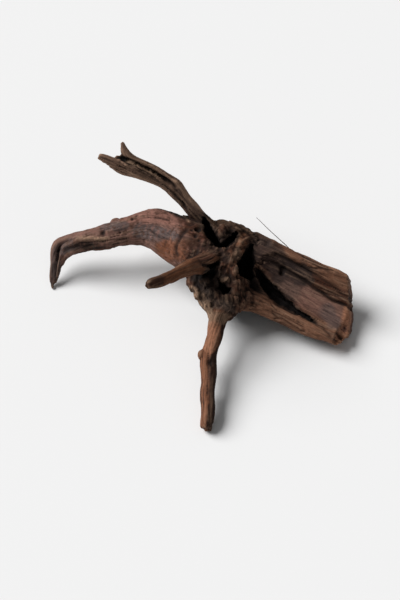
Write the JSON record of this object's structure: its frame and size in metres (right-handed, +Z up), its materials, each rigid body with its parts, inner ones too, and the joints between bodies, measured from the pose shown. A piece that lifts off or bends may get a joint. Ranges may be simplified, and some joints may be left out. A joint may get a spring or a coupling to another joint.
{
  "type": "piece of driftwood",
  "caption": "Weathered driftwood: a hollowed half trunk ending in a knotted root burl, with a hooked flat arm, a rising forked arm, a short stub and a straight leg.",
  "frame": {"origin": "middle of the bounding box in plan, on the surface the driftwood lies on", "axes": "+X along the longest side, from the hook towards the broken end of the trunk; +Z up; the leg points to -Y"},
  "size_m": [0.4792, 0.3972, 0.2043],
  "materials": {
    "weathered_wood": "matt, dry, dark reddish brown heartwood with grey-pink worn patches, near-black hollows and raised grain",
    "root_fibre": "matt, near-black dried root fibre"
  },
  "bodies": {
    "root": {"driftwood": "weathered_wood", "rootlet": "root_fibre"}
  },
  "joints": []
}
